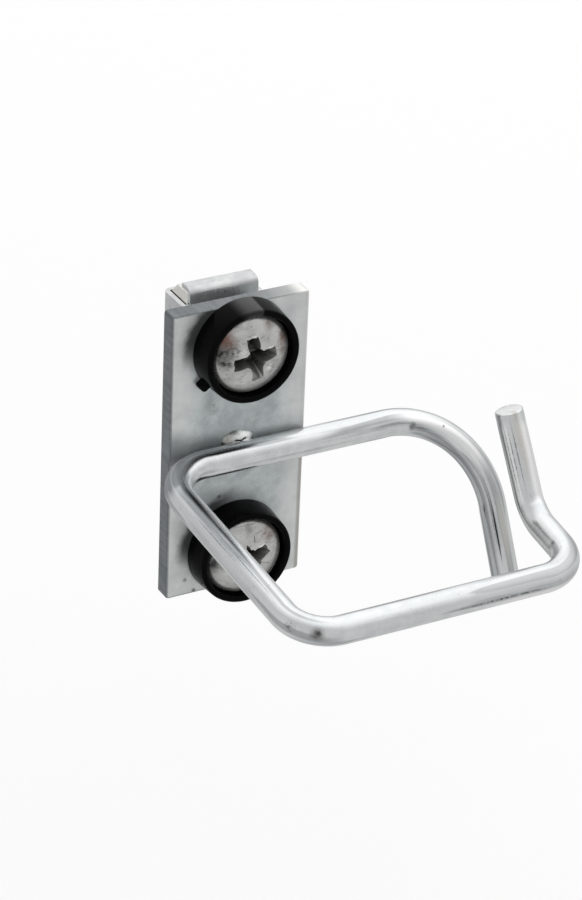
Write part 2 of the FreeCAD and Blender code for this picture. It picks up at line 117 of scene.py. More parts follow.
def join_surfaces(*surfaces):
    """Several closed surfaces as one list of points and one list of faces."""
    points, faces = [], []
    count = 0
    for spots, sides in surfaces:
        faces += [[corner + count for corner in side] for side in sides]
        points.append(spots)
        count += len(spots)
    return np.vstack(points), faces


def set_on_axis(rings, turn, level, seat):
    """Sets rings of (across, beside, height) in millimetres on a screw's axis.

    They are turned by so many degrees about it, and height 0 lies at y = seat, also in millimetres.
    """
    cosine, sine = math.cos(math.radians(turn)), math.sin(math.radians(turn))
    x = rings[..., 0] * cosine - rings[..., 1] * sine
    z = rings[..., 0] * sine + rings[..., 1] * cosine
    return np.stack([x, seat - rings[..., 2], z + level / MM], -1) * MM


def new_mesh(name, points, faces, material):
    mesh = bpy.data.meshes.new(name)
    mesh.from_pydata(points, [], faces)
    mesh.materials.append(material)
    return mesh


def add_object(name, data):
    """A new object in the scene, at the origin."""
    thing = bpy.data.objects.new(name, data)
    bpy.context.scene.collection.objects.link(thing)
    return thing


def add_piece(name, surface, material, nodes, crease=35, marks=None):
    """A mesh object in place, riding on the hook; marks are named values, one for each point."""
    points, faces = surface
    mesh = new_mesh(name, points.tolist(), faces, material)
    for mark, values in (marks or {}).items():
        kind, field = ("FLOAT_VECTOR", "vector") if values.ndim == 2 else ("FLOAT", "value")
        attribute = mesh.attributes.new(mark, kind, "POINT")
        attribute.data.foreach_set(field, values.astype(np.float32).ravel())
    mesh.shade_smooth()
    mesh.set_sharp_from_angle(angle=math.radians(crease))
    piece = add_object(name, mesh)
    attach(piece, "root")
    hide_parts(*nodes)


# ---- shader node helpers

# The Mix node's sockets for its share and its two colours, and for the colour that it gives.
MIX_INPUTS, MIX_OUTPUT = (0, 6, 7), 2


def tree_of(*values):
    """The node tree that holds the first socket among the values."""
    return next(value.id_data for value in values if isinstance(value, bpy.types.NodeSocket))


def connect(value, socket):
    """Links an output to the socket, or sets the socket's own value."""
    if isinstance(value, bpy.types.NodeSocket):
        tree_of(socket).links.new(value, socket)
    else:
        socket.default_value = value


def add_node(tree, kind, **values):
    """A shader node; names of its own properties are set on it, any other on the input socket."""
    made = tree.nodes.new("ShaderNode" + kind)
    for name, value in values.items():
        if hasattr(made, name):
            setattr(made, name, value)
        else:
            connect(value, made.inputs[name.replace("_", " ")])
    return made


def calculate(operation, *values):
    """One math node on the given values."""
    made = add_node(tree_of(*values), "Math", operation=operation)
    for socket, value in zip(made.inputs, values):
        connect(value, socket)
    return made.outputs[0]


plus, minus, times, larger = (
    partial(calculate, operation) for operation in ("ADD", "SUBTRACT", "MULTIPLY", "MAXIMUM"))


def scaled(value, factor, start):
    """start + factor * value"""
    return calculate("MULTIPLY_ADD", value, factor, start)


def blend(share, first, second):
    """A colour from first to second by share."""
    made = add_node(tree_of(share, first, second), "Mix", data_type="RGBA")
    for index, value in zip(MIX_INPUTS, (share, first, second)):
        connect(value, made.inputs[index])
    return made.outputs[MIX_OUTPUT]


def tinted(colour, tint, share):
    """The colour with a share of a fixed tint of red, green and blue over it."""
    return blend(share, colour, (*tint, 1))


def between(value, low, high, bottom=0.0, top=1.0):
    """Carries a value's range onto another, smoothly and held at both ends."""
    made = add_node(tree_of(value), "MapRange", interpolation_type="SMOOTHSTEP", Value=value,
                    From_Min=low, From_Max=high, To_Min=bottom, To_Max=top)
    return made.outputs["Result"]


def noise(vector, scale, detail=3.0, roughness=0.55, distortion=0.0):
    """A soft noise about 0.5 on the given coordinates."""
    return add_node(tree_of(vector), "TexNoise", Vector=vector, Scale=scale, Detail=detail,
                    Roughness=roughness, Distortion=distortion).outputs[0]


def stretch(vector, scale, place=(0, 0, 0)):
    """The coordinates moved and scaled, differently along each axis."""
    made = add_node(tree_of(vector), "Mapping", Vector=vector, Scale=scale, Location=place)
    return made.outputs[0]


def split(vector):
    """The three coordinates of a vector."""
    return add_node(tree_of(vector), "SeparateXYZ", Vector=vector).outputs


def point_value(material, name, output="Fac"):
    """A value that the mesh keeps for each of its points."""
    return add_node(material.node_tree, "Attribute", attribute_name=name).outputs[output]


def new_group(name, inputs, outputs):
    """An empty shader node group with named sockets: returns it, its inputs and its outputs."""
    group = bpy.data.node_groups.new(name, "ShaderNodeTree")
    for direction, sockets in (("INPUT", inputs), ("OUTPUT", outputs)):
        for label, kind in sockets.items():
            group.interface.new_socket(label, in_out=direction, socket_type="NodeSocket" + kind)
    entrance = group.nodes.new("NodeGroupInput")
    leaving = group.nodes.new("NodeGroupOutput")
    return group, entrance.outputs, leaving.inputs


def use_group(group, **values):
    """Places a node group in a material, with its own values, and returns its outputs."""
    return add_node(tree_of(*values.values()), "Group", node_tree=group, **values).outputs


# ---- node groups

def make_zinc_clouds():
    """Galvanised or plated steel: soft clouds, faint crystals and fine grain."""
    group, given, put = new_group(
        "zinc_clouds",
        {"Place": "Vector", "Clouds per metre": "Float", "Light": "Color", "Dark": "Color",
         "Crystals": "Float", "Smooth": "Float", "Rough": "Float"},
        {"Colour": "Color", "Roughness": "Float", "Height": "Float"})
    clouds = noise(given["Place"], given["Clouds per metre"], 4.0, 0.6, 0.4)
    grain = noise(given["Place"], times(given["Clouds per metre"], 9.0), 5.0, 0.7)
    cells = add_node(group, "TexVoronoi", Vector=given["Place"],
                     Scale=times(given["Clouds per metre"], 3.5))
    tone = add_node(group, "SeparateColor", Color=cells.outputs["Color"]).outputs[0]
    crystal = times(minus(tone, 0.5), given["Crystals"])
    mixed = plus(between(clouds, 0.3, 0.7), crystal)
    fine = times(minus(grain, 0.5), 0.35)
    mixed = plus(mixed, fine)
    connect(blend(mixed, given["Dark"], given["Light"]), put["Colour"])
    spread = minus(given["Rough"], given["Smooth"])
    darker = minus(1.0, mixed)
    roughness = scaled(darker, spread, given["Smooth"])
    connect(roughness, put["Roughness"])
    connect(scaled(clouds, 0.6, grain), put["Height"])
    return group


def make_draw_lines():
    """Lines left along drawn wire: noise stretched along it, fine, as streaks and as scores."""
    group, given, put = new_group(
        "draw_lines", {"Round and along": "Vector", "Lines per metre": "Float"},
        {"Lines": "Float", "Streaks": "Float", "Scores": "Float"})
    long_way = stretch(given["Round and along"], (1, 1, 0.025))
    short_way = stretch(given["Round and along"], (1, 1, 0.06), (0.031, 0.017, 0.009))
    lines = noise(long_way, given["Lines per metre"], 3.0, 0.7)
    wide = noise(long_way, times(given["Lines per metre"], 0.4), 3.0, 0.5)
    thin = noise(short_way, times(given["Lines per metre"], 0.45), 1.0, 0.4)
    connect(lines, put["Lines"])
    connect(wide, put["Streaks"])
    connect(between(thin, 0.56, 0.64), put["Scores"])
    return group


def make_soil():
    """Handling dirt: smudges, and small dark specks in their own clusters."""
    group, given, put = new_group(
        "soil", {"Place": "Vector", "Smudges per metre": "Float", "Cover": "Float"},
        {"Smudge": "Float", "Speck": "Float"})
    patches = noise(given["Place"], given["Smudges per metre"], 5.0, 0.62, 0.6)
    edge = minus(0.78, given["Cover"])
    smudges = between(patches, edge, plus(edge, 0.2))
    connect(smudges, put["Smudge"])
    specks = noise(given["Place"], times(given["Smudges per metre"], 6.0), 2.0, 0.5)
    start = minus(0.8, times(given["Cover"], 0.4))
    specks = between(specks, start, plus(start, 0.06))
    connect(specks, put["Speck"])
    return group


def make_spot():
    """One soft mark: 1 at its middle, 0 at its reach, broken up by noise on its own coordinates."""
    group, given, put = new_group(
        "spot",
        {"Place": "Vector", "Grain": "Vector", "Middle": "Vector", "Reach": "Float",
         "Broken": "Float"},
        {"Mark": "Float"})
    apart = add_node(group, "VectorMath", operation="DISTANCE")
    connect(given["Place"], apart.inputs[0])
    connect(given["Middle"], apart.inputs[1])
    share = calculate("DIVIDE", apart.outputs["Value"], given["Reach"])
    near = between(share, 0.15, 1.0, 1.0, 0.0)
    scale = calculate("MINIMUM", calculate("DIVIDE", 2.2, given["Reach"]), 3000.0)
    grains = between(noise(given["Grain"], scale, 4.0, 0.65), 0.42, 0.62)
    kept = minus(1.0, given["Broken"])
    broken = scaled(grains, given["Broken"], kept)
    connect(times(near, broken), put["Mark"])
    return group


ZINC_CLOUDS = make_zinc_clouds()
DRAW_LINES = make_draw_lines()
SOIL = make_soil()
SPOT = make_spot()


# ---- finishes

def new_finish(name, **constants):
    """A material with its shader's constants, the shader, and the object's coordinates."""
    material = bpy.data.materials.new(name)
    material.use_nodes = True
    tree = material.node_tree
    shader = tree.nodes["Principled BSDF"]
    for socket, value in constants.items():
        shader.inputs[socket.replace("_", " ")].default_value = value
    return material, shader, add_node(tree, "TexCoord").outputs["Object"]


def feed_shader(shader, colour, roughness, height, depth):
    """Links colour, roughness, and a bump of the given depth in metres."""
    connect(colour, shader.inputs["Base Color"])
    connect(roughness, shader.inputs["Roughness"])
    bump = add_node(tree_of(height), "Bump", Height=height, Distance=depth, Strength=1.0)
    connect(bump.outputs[0], shader.inputs["Normal"])


def add_spots(place, colour, spots, along=1.0):
    """Soft marks over a colour: for each, its middle, reach, brokenness, tint and strength.

    Middles and reaches are in millimetres. The third coordinate is scaled by along, which makes
    every mark longer or shorter that way.
    """
    drawn_out = stretch(place, (1, 1, along))
    for middle, reach, broken, tint, strength in spots:
        centre = (middle[0] * MM, middle[1] * MM, middle[2] * MM * along)
        mark = use_group(SPOT, Place=drawn_out, Grain=place, Middle=centre, Reach=reach * MM,
                         Broken=broken)["Mark"]
        colour = tinted(colour, tint, times(mark, strength))
    return colour


FACE_METALLIC = 0.6
PAINTED_PALE = (0.95, 0.95, 0.93)
SHADE_SIDE = (-0.77, 0.64)
FRONT_SKIN = 0.12 * MM


def sheared_steel(place, across):
    """The bare edge of the sheet: dark and lined, the darkness partly painted shade, and made paler
    towards the right as painted light.
    """
    lines = noise(stretch(place, (1, 0.12, 1)), 1500.0, 3.0, 0.6)
    bare = blend(between(lines, 0.3, 0.7), (0.17, 0.185, 0.195, 1), (0.23, 0.245, 0.255, 1))
    # Painted light: the edge is made paler towards the right.
    bare = tinted(bare, (0.5, 0.51, 0.5), between(across, 1 * MM, 10 * MM))
    return tinted(bare, PAINTED_PALE, between(across, 7.5 * MM, 10 * MM))


def shade_beside_cups(place, across, upright):
    """Two masks of painted shade and painted reflection of the cup washers on the plate, ragged
    crescents round the upper left of each cup washer.
    """
    ragged = scaled(noise(place, 700.0, 3.0, 0.6), -1.2 * MM, 0.6 * MM)
    masks = []
    for level in SIDES.values():
        above = minus(upright, level)
        apart = calculate("SQRT", scaled(above, above, times(across, across)))
        leaning = scaled(across, SHADE_SIDE[0], times(above, SHADE_SIDE[1]))
        on_side = between(calculate("DIVIDE", leaning, apart), 0.55, 0.92)
        near = between(plus(apart, ragged), 8.0 * MM, 9.4 * MM, 0.9, 0.0)
        masks.append(times(on_side, near))
    return masks


def finish_plate():
    """Galvanised sheet: satin grey with faint clouds, painted paler round its border as painted
    light.

    Its edges are bare and dark, partly as painted shade, and paler to the right as painted light;
    its left arris has a painted highlight, its right edge is stained, there is painted shade in
    the crevice above the bar, and painted shade and reflection beside the cup washers.
    """
    material, shader, place = new_finish("galvanised_sheet", Metallic=FACE_METALLIC)
    zinc = use_group(ZINC_CLOUDS, Place=place, Clouds_per_metre=260.0, Light=(0.68, 0.73, 0.73, 1),
                     Dark=(0.48, 0.52, 0.53, 1), Crystals=0.3, Smooth=0.3, Rough=0.44)
    dirt = use_group(SOIL, Place=place, Smudges_per_metre=420.0, Cover=0.16)
    across, outward, upright = split(place)
    aside, aloft = (calculate("ABSOLUTE", axis) for axis in (across, upright))
    right, top = PLATE_HIGH[0], PLATE_HIGH[2]
    colour = tinted(zinc["Colour"], (0.3, 0.31, 0.31), times(dirt["Smudge"], 0.3))
    colour = tinted(colour, (0.12, 0.11, 0.1), times(dirt["Speck"], 0.3))

    # Painted light: the face is made paler towards its border and towards its bottom.
    border = larger(between(aside, 5 * MM, 9.5 * MM), between(aloft, 17 * MM, 21.5 * MM))
    painted_paler = larger(border, between(upright, -9 * MM, -19 * MM))
    colour = tinted(colour, PAINTED_PALE, times(painted_paler, 0.5))

    sheared = larger(between(aside, right - 0.4 * MM, right - 0.12 * MM),
                     between(aloft, top - 0.4 * MM, top - 0.12 * MM))
    colour = blend(sheared, colour, sheared_steel(place, across))
    # Painted highlight: a thin pale line along the front of the left arris.
    arris = times(between(across, 0.22 * MM - right, 0.05 * MM - right),
                  between(outward, PLATE_FRONT + FRONT_SKIN, PLATE_FRONT + 0.02 * MM))
    colour = tinted(colour, (0.85, 0.86, 0.85), arris)
    stained = times(between(across, right - 0.9 * MM, right - 0.5 * MM),
                    between(upright, -2 * MM, 2 * MM, 0.6, 0.1))
    colour = tinted(colour, (0.34, 0.31, 0.27), stained)

    in_front = between(outward, PLATE_FRONT + FRONT_SKIN, PLATE_FRONT + 0.03 * MM)
    # Painted shade in the crevice above the bar, darkest next to it.
    crevice = between(minus(upright, BAR_LEVEL), 1.6 * MM, 4.3 * MM, 0.5, 0.0)
    crevice = times(crevice, times(in_front, between(upright, -1.5 * MM, -0.5 * MM)))
    colour = tinted(colour, (0.1, 0.105, 0.11), crevice)
    # Painted shade and reflection of each cup washer on the plate.
    for cup_shade in shade_beside_cups(place, across, upright):
        colour = tinted(colour, (0.05, 0.055, 0.05), times(in_front, cup_shade))
    colour = add_spots(place, colour, [
        ((-4.0, -2.5, 7.0), 1.6, 0.8, (0.25, 0.26, 0.26), 0.5),
        ((-7.6, -2.5, -19.7), 0.5, 0.3, (0.1, 0.1, 0.1), 0.8),
        ((-6.2, -2.5, -21.7), 0.5, 0.3, (0.08, 0.08, 0.08), 0.9),
        ((-2.6, -2.5, -7.4), 0.5, 0.2, (0.06, 0.06, 0.06), 0.8),
        ((2.6, -2.5, 3.9), 1.5, 0.7, (0.3, 0.3, 0.3), 0.4),
        # Next spot: painted shade on the plate beside the wire's left corner, above the bar.
        ((-9.8, -2.5, 2.2), 3.2, 0.2, (0.25, 0.28, 0.29), 0.55)])
    connect(scaled(sheared, 1 - FACE_METALLIC, FACE_METALLIC), shader.inputs["Metallic"])
    feed_shader(shader, colour, zinc["Roughness"], zinc["Height"], 0.012 * MM)
    return material


def mark_wire(along, colour):
    """Single marks on the wire, of the bending tool and of wear, and dark streaks on the left leg,
    82 to 91 mm along, that are a painted reflection.

    A place is (R cos q, R sin q, distance along) in millimetres, with q the angle round the wire.
    Each group is drawn out along the wire by one over the number that it starts with.
    """
    warm, grey = (0.7, 0.68, 0.63), (0.3, 0.31, 0.32)
    dark, black = (0.14, 0.15, 0.16), (0.02, 0.02, 0.02)
    marks = [
        (0.12, ((-0.75, 1.85, 8), 0.85, 0.2, warm, 0.75),
         ((-1.84, 0.78, 166), 1.0, 0.2, warm, 0.8)),
        # Grey mark at 82 mm: painted reflection on the left leg.
        (0.06, ((-1.97, -0.33, 82), 0.6, 0.5, grey, 0.8)),
        (0.02, ((0.62, 1.9, 11), 0.13, 0.5, dark, 0.8), ((0.58, 1.91, 50), 0.3, 0.4, dark, 0.35),
         # Dark marks at 82, 91 and 84 mm along: painted reflection on the left leg.
         ((-1.93, 0.5, 82), 0.25, 0.2, dark, 0.95), ((-1.975, -0.31, 91), 0.19, 0.4, dark, 0.75),
         ((-1.78, -0.91, 84), 0.16, 0.4, dark, 0.7), ((-0.68, -1.88, 132), 0.2, 1.0, black, 1.0),
         ((-0.31, 1.98, 163), 0.16, 0.6, dark, 0.9), ((-0.81, 1.83, 163), 0.14, 0.7, dark, 0.9),
         ((-1.34, 1.49, 164), 0.14, 0.5, dark, 0.9)),
        (0.05, ((0.35, 1.97, 9), 0.3, 0.1, black, 0.6)),
        (0.03, ((0.35, 1.97, 9), 0.17, 0.0, black, 1.0), ((0.33, 1.97, 7), 0.13, 0.0, black, 1.0)),
        (1.2, ((-0.07, 2.0, 31.25), 0.95, 0.4, dark, 0.95),
         ((-1.18, 1.62, 26.4), 0.35, 0.3, dark, 0.9),
         ((-1.23, -1.58, 105.2), 1.35, 0.3, (0.1, 0.09, 0.08), 0.85),
         ((-1.3, -1.52, 105.3), 0.6, 0.1, black, 0.7),
         ((-1.18, -1.61, 102.3), 1.0, 0.9, dark, 0.95)),
    ]
    for squeeze, *spots in marks:
        colour = add_spots(along, colour, spots, squeeze)
    return colour


def finish_wire():
    """Bright zinc plate over drawn wire, with lines along it.

    The mesh says where painted shade and dark reflections lie, where painted highlights lie, where
    the metal is less metallic so that they show, and where it is satin.
    """
    material, shader, place = new_finish("bright_zinc_wire", Metallic=1.0, Specular_IOR_Level=0.0)
    along = point_value(material, "round_and_along", "Vector")
    drawn = use_group(DRAW_LINES, Round_and_along=along, Lines_per_metre=1700.0)
    zinc = use_group(ZINC_CLOUDS, Place=place, Clouds_per_metre=300.0, Light=(0.88, 0.90, 0.90, 1),
                     Dark=(0.74, 0.76, 0.77, 1), Crystals=0.1, Smooth=0.2, Rough=0.32)
    dirt = use_group(SOIL, Place=place, Smudges_per_metre=520.0, Cover=0.24)
    streaks = between(drawn["Streaks"], 0.32, 0.62)
    colour = blend(streaks, (0.76, 0.78, 0.79, 1), zinc["Colour"])
    colour = tinted(colour, (0.12, 0.12, 0.12), times(dirt["Speck"], 0.6))
    colour = tinted(colour, (0.2, 0.21, 0.22), times(drawn["Scores"], 0.5))
    # Painted shade and dark reflections, from the mesh's bands.
    shade_and_reflection = times(point_value(material, "painted_shade_and_reflection"), between(drawn["Lines"], 0.4, 0.57, 0.5, 1.15))
    colour = tinted(colour, (0.3, 0.32, 0.33), shade_and_reflection)
    # Painted highlights from the mesh's bands, and the upper end face painted white as a painted
    # reflection.
    colour = tinted(colour, (1, 1, 1), times(point_value(material, "painted_highlight"), 0.95))
    colour = mark_wire(along, colour)
    # Less metallic under painted shade bands and on the painted end face, so that the painted
    # colour shows.
    connect(scaled(point_value(material, "painted_matte"), -0.75, 1.0), shader.inputs["Metallic"])
    roughness = between(drawn["Lines"], 0.3, 0.75, 0.16, 0.32)
    roughness = scaled(point_value(material, "satin"), 0.16, roughness)
    feed_shader(shader, colour, roughness, drawn["Lines"], 0.02 * MM)
    return material


def stain_heads(place, colour):
    """Brown and black stains, painted glints, a scratch, and painted shade along a fold, on the two
    screw heads.
    """
    grey, brown, black = (0.14, 0.14, 0.14), (0.2, 0.12, 0.09), (0.03, 0.03, 0.03)
    white = (1, 1, 1)
    colour = add_spots(place, colour, [
        ((-4.7, -6.1, 19.2), 2.3, 0.15, (0.2, 0.09, 0.075), 1.0),
        ((-3.7, -6.4, 18.6), 1.6, 0.6, brown, 1.0), ((-4.9, -6.0, 17.2), 2.3, 0.35, black, 1.0),
        ((-4.3, -6.3, 15.8), 1.8, 0.6, black, 1.0), ((-3.0, -6.6, 17.4), 1.3, 0.8, black, 0.9),
        ((4.9, -6.2, 18.4), 1.6, 0.4, (0.12, 0.08, 0.06), 1.0),
        # The two white spots are painted glints, painted highlights on the edges of the upper
        # recess.
        ((-1.8, -6.7, 17.2), 0.7, 0.3, white, 1.0), ((2.2, -6.7, 14.1), 0.7, 0.3, white, 1.0),
        ((2.3, -6.6, 20.7), 0.9, 0.1, black, 1.0), ((2.4, -6.6, 20.6), 1.5, 0.4, brown, 0.7),
        ((4.5, -6.4, 17.6), 1.4, 0.6, brown, 0.9), ((4.5, -6.4, 16.0), 0.9, 0.5, brown, 0.8),
        ((-5.3, -6.0, -15.4), 2.8, 0.4, black, 1.0), ((3.5, -6.5, -12.6), 1.9, 0.5, brown, 0.8),
        ((0.2, -6.8, -10.9), 1.6, 0.6, grey, 0.6), ((-0.5, -6.9, 18.5), 0.4, 0.1, grey, 0.7),
    ])
    seen_flat = stretch(place, (1, 0, 1))
    # A row of grey spots: painted shade along a crease across the lower head.
    fold = [((x, 0, -10.75), 0.24, 0.4, grey, 0.5) for x in np.arange(-1.8, 2.1, 0.3)]
    scratch = ((0.98, 0, -12.8), 0.13, 0.2, black, 0.9)
    colour = add_spots(seen_flat, colour, fold)
    return add_spots(seen_flat, colour, [scratch], 0.16)


def finish_screw():
    """Zinc-plated screw: warm pale grey, soiled by handling, with painted shade and dirt in the
    recess, the ticks and the thread.
    """
    material, shader, place = new_finish("soiled_zinc_screw", Metallic=0.85)
    zinc = use_group(ZINC_CLOUDS, Place=place, Clouds_per_metre=500.0, Light=(0.71, 0.71, 0.70, 1),
                     Dark=(0.53, 0.525, 0.515, 1), Crystals=0.1, Smooth=0.26, Rough=0.42)
    dirt = use_group(SOIL, Place=place, Smudges_per_metre=600.0, Cover=0.2)
    rubs = noise(stretch(place, (0.25, 1, 1)), 2600.0, 2.0, 0.5)
    colour = tinted(zinc["Colour"], (0.2, 0.17, 0.15), times(dirt["Smudge"], 0.5))
    colour = tinted(colour, (0.24, 0.23, 0.22), between(rubs, 0.58, 0.7, 0.0, 0.4))
    colour = stain_heads(place, colour)
    # Painted shade and dirt: darker by the mesh's share, in the recess, along the ticks and in the
    # thread.
    shaded = times(point_value(material, "sunk"), between(zinc["Height"], 0.5, 1.1, 0.98, 0.86))
    colour = tinted(colour, (0.045, 0.044, 0.042), shaded)
    feed_shader(shader, colour, zinc["Roughness"], zinc["Height"], 0.01 * MM)
    return material


def slit_level(across):
    """How far a weld's slit runs above the dome's middle, both in millimetres."""
    return 0.17 + 0.02 * across + 0.045 * np.sin(5 * across)


def finish_weld():
    """Squeezed-out weld metal under the plating: pale, with a brown foot, and painted shade black
    along its slit.
    """
    material, shader, place = new_finish("plated_weld", Metallic=1.0)
    zinc = use_group(ZINC_CLOUDS, Place=place, Clouds_per_metre=900.0, Light=(0.83, 0.84, 0.83, 1),
                     Dark=(0.60, 0.62, 0.62, 1), Crystals=0.1, Smooth=0.2, Rough=0.34)
    low, high = (np.array(corner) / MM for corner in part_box("weld_above"))
    left, top = low[0], high[2]
    centre = (low + high) / 2
    # Painted shade: black spots along the slit carved in the dome.
    slit = [((centre[0] + x, 0, centre[2] + slit_level(x)), 0.2, 0.3, (0.03, 0.03, 0.03), 1.0)
            for x in np.arange(-1.15, 0.6, 0.15)]
    colour = add_spots(stretch(place, (1, 0, 1)), zinc["Colour"], [
        ((left - 0.3, 0, top - 1.6), 1.9, 0.4, (0.26, 0.24, 0.2), 0.9),
        ((centre[0] - 0.2, 0, top - 0.1), 0.75, 0.9, (0.52, 0.52, 0.51), 0.6),
        *slit,
    ])
    feed_shader(shader, colour, zinc["Roughness"], zinc["Height"], 0.03 * MM)
    return material


def finish_nylon():
    """Moulded black nylon: near black, satin, finely grained.

    The outside of the upper cup washer has a painted sheen: more coat on one patch at its top, with
    a sharp left edge.
    """
    material, shader, place = new_finish("black_nylon", Metallic=0.0, Specular_IOR_Level=0.03,
                                         Coat_Roughness=0.14)
    grain = noise(place, 2600.0, 4.0, 0.6)
    haze = noise(place, 300.0, 3.0, 0.5)
    across, _, upright = split(place)
    above = minus(upright, SCREW_HALF_SPACING)
    turn = calculate("ARCTAN2", above, across)
    # Painted highlight: more coat on one patch of the upper cup washer's outside wall.
    sheen_turns = times(between(turn, 1.36, 1.42), between(turn, 1.65, 1.95, 1.0, 0.0))
    painted_highlight = times(sheen_turns, between(above, 5.6 * MM, 6.4 * MM))
    connect(scaled(painted_highlight, 0.85, 0.02), shader.inputs["Coat Weight"])
    colour = blend(haze, (0.001, 0.001, 0.0012, 1), (0.003, 0.003, 0.0033, 1))
    roughness = between(haze, 0.3, 0.7, 0.14, 0.24)
    feed_shader(shader, colour, roughness, grain, 0.006 * MM)
    return material


def finish_cage_nut(name, light, dark):
    """Zinc plate on the spring steel cages, or brighter on their nuts."""
    material, shader, place = new_finish(name, Metallic=1.0)
    zinc = use_group(ZINC_CLOUDS, Place=place, Clouds_per_metre=420.0, Light=(*light, 1),
                     Dark=(*dark, 1), Crystals=0.12, Smooth=0.24, Rough=0.38)
    feed_shader(shader, zinc["Colour"], zinc["Roughness"], zinc["Height"], 0.008 * MM)
    return material


# ---- wire ring

WIRE_RADIUS = 2.0 * MM
BEND_RADII = [size * MM for size in (15.0, 6.5, 6.0, 5.7, 6.4)]
DROOP, DROP, RISE, LEAN = (math.radians(angle) for angle in (8.0, 62.8, 57.0, 3.2))
RING_DEPTH, LOWER_END, RUN_IN, UPPER_END = (size * MM for size in (38.5, 26.6, 12.7, 14.9))
RUN_IN_RIGHT = 31.5 * MM
BESIDE_PLATE = 0.3 * MM
WIRE_STEP = 0.3 * MM
WIRE_SIDES = 80
END_EASE = 0.3 * MM
END_SHARES = (0.0, 0.35, 0.7, 0.9)
END_SHEAR, SHEAR_TOWARDS = -0.6 * MM, math.radians(136)

# Painted light on the wire, in bands: painted shade and dark reflections, painted highlights, a
# less metallic skin under some of them, and satin. Each row: strength, places along the wire, the
# angle round the wire at each of them, half the band's width in degrees, where it starts and stops
# along the wire, and half the length over which it fades there. Places and lengths are in
# millimetres.
LEFT_CORNER = (66, 212, 76, 66.5, 72.4, 1.3)
UPPER_LEG = (160, 52, 32, 156.0, 168.0, 1.0)
PAINTED_SHADE_BANDS = [
    (0.92, (0, 18, 22, 28, 31), (34, 36, 43, 67, 82), 38, 0.5, 31.2, 1.2),
    (1.2, *LEFT_CORNER),
    (1.25, 80, 183, 26, 73.0, 91.0, 4.0),
    (0.35, 80, 253, 28, 79.0, 97.0, 3.0),
    (0.4, 140, 246, 22, 135.0, 144.0, 3.0),
    (0.9, *UPPER_LEG),
]
PAINTED_HIGHLIGHT_BANDS = [
    (0.2, 138, 190, 50, 128, 144, 4.0),
    (1.0, (16, 22, 28, 33), (100, 113, 123, 138), 36, 18, 33, 2.5),
    (1.0, 140, 285, 38, 130, 144, 4.0),
    (0.6, 150, 95, 50, 147, 156, 2.0),
    (1.0, 160, 101, 20, 156.5, 168, 1.0),
    (1.0, 160, 195, 46, 156.5, 168, 1.0),
]
PAINTED_MATTE_BANDS = [(1.0, *LEFT_CORNER), (0.9, *UPPER_LEG)]
SATIN_BANDS = [(1.0, 132, 210, 95, 122, 142, 4.0)]
END_FACE_MATTE = 0.8


def turn_about(axis, vector, angle):
    """A vector v turned about a unit axis k: v cos t + (k x v) sin t + k (k . v) (1 - cos t)."""
    return (vector * np.cos(angle) + np.cross(axis, vector) * np.sin(angle)
            + axis * (axis @ vector) * (1 - np.cos(angle)))


def bent_line(corners, radii, step):
    """Centre line of a bent wire: straights through the corners and arcs tangent to both sides.

    An arc from S turns about O = S + R n: P = O - R n cos t + R a sin t, with a the way in and n
    the inside of the bend. Returns points, tangents, a side vector carried without twist, the
    inside direction, which is 0 outside the bends, and the distance along.
    """
    corners = np.array(corners)
    headings = unit(np.diff(corners, axis=0))
    side = unit(np.cross(headings[0], (0.3, 1.0, 0.2)))
    points, tangents, sides, insides = [], [], [], []
    start = corners[0]
    for index, heading in enumerate(headings):
        last = index == len(headings) - 1
        end = corners[index + 1]
        if not last:
            following, radius = headings[index + 1], radii[index]
            turn = math.acos(np.clip(heading @ following, -1, 1))
            end = end - heading * radius * math.tan(turn / 2)
        count = max(2, round(np.linalg.norm(end - start) / step))
        share = np.linspace(0, 1, count, endpoint=last)[:, None]
        points.append(start + share * (end - start))
        tangents.append(np.repeat(heading[None], count, 0))
        sides.append(np.repeat(side[None], count, 0))
        insides.append(np.zeros((count, 3)))
        if last:
            break
        inward = unit(following - (heading @ following) * heading)
        axis = np.cross(heading, inward)
        count = max(8, round(turn * radius / step))
        angle = np.linspace(0, turn, count, endpoint=False)[:, None]
        spoke, run = inward * radius, heading * radius
        centre = end + spoke
        points.append(centre - spoke * np.cos(angle) + run * np.sin(angle))
        tangents.append(heading * np.cos(angle) + inward * np.sin(angle))
        insides.append(inward * np.cos(angle) - heading * np.sin(angle))
        sides.append(turn_about(axis, side, angle))
        side = turn_about(axis, side, turn)
        start = centre - spoke * math.cos(turn) + run * math.sin(turn)
    points, tangents, sides, insides = map(np.vstack, (points, tangents, sides, insides))
    travelled = np.cumsum(np.linalg.norm(np.diff(points, axis=0), axis=1))
    return points, tangents, sides, insides, np.append(0, travelled)


def ring_corners():
    """Corners of the wire's centre line, from the lower free end to the upper one.

    A corner at a reach r from the bar, down a plane that slopes by an angle, lies at
    y = bar - r cos and z = bar - r sin.
    """
    bar_y = PLATE_FRONT - WIRE_RADIUS
    left = PLATE_LOW[0] - BESIDE_PLATE - WIRE_RADIUS
    right = WIRE_RIGHT - WIRE_RADIUS
    front_left = left + RING_DEPTH * math.tan(LEAN)

    def below_bar(x, reach, angle):
        return (x, bar_y - reach * math.cos(angle), BAR_LEVEL - reach * math.sin(angle))

    rise_at = np.array(below_bar(RUN_IN_RIGHT, RING_DEPTH - RUN_IN, DROOP))
    tip = rise_at + UPPER_END * np.array((0, math.cos(RISE), math.sin(RISE)))
    return [below_bar(right, LOWER_END, DROP), (right, bar_y, BAR_LEVEL), (left, bar_y, BAR_LEVEL),
            below_bar(front_left, RING_DEPTH, DROOP), below_bar(RUN_IN_RIGHT, RING_DEPTH, DROOP),
            rise_at, tip]


